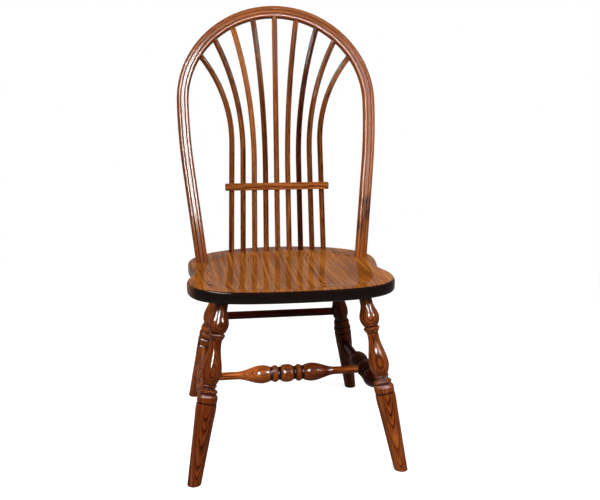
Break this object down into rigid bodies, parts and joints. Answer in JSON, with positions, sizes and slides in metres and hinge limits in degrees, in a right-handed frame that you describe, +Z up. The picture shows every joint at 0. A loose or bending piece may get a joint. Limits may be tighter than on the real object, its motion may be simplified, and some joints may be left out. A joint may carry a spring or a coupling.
{
  "type": "sheaf back chair",
  "caption": "Wooden side chair with a tall bent bow back holding a sheaf of spindles and a cross slat, a scooped solid seat, and splayed turned legs joined by turned stretchers.",
  "frame": {"origin": "on the floor, under the middle of the chair's bounding box", "axes": "+Z up; the chair faces -Y; +X is on the right of someone facing the chair's front"},
  "size_m": [0.5212, 0.5296, 1.079],
  "materials": {
    "oak_seat": "gloss",
    "oak_bow": "gloss",
    "oak_spindle": "gloss",
    "oak_turned": "gloss"
  },
  "bodies": {
    "root": {"seat_board_1": "oak_seat", "seat_board_2": "oak_seat", "seat_board_3": "oak_seat", "seat_board_4": "oak_seat", "seat_board_5": "oak_seat", "bow": "oak_bow", "spindle_1": "oak_spindle", "spindle_2": "oak_spindle", "spindle_3": "oak_spindle", "spindle_4": "oak_spindle", "spindle_5": "oak_spindle", "spindle_6": "oak_spindle", "spindle_7": "oak_spindle", "spindle_8": "oak_spindle", "spindle_9": "oak_spindle", "cross_slat": "oak_spindle", "front_leg_left": "oak_turned", "front_leg_right": "oak_turned", "rear_leg_left": "oak_turned", "rear_leg_right": "oak_turned", "side_stretcher_left": "oak_turned", "side_stretcher_right": "oak_turned", "medial_stretcher": "oak_turned", "rear_rail": "oak_turned"}
  },
  "joints": []
}
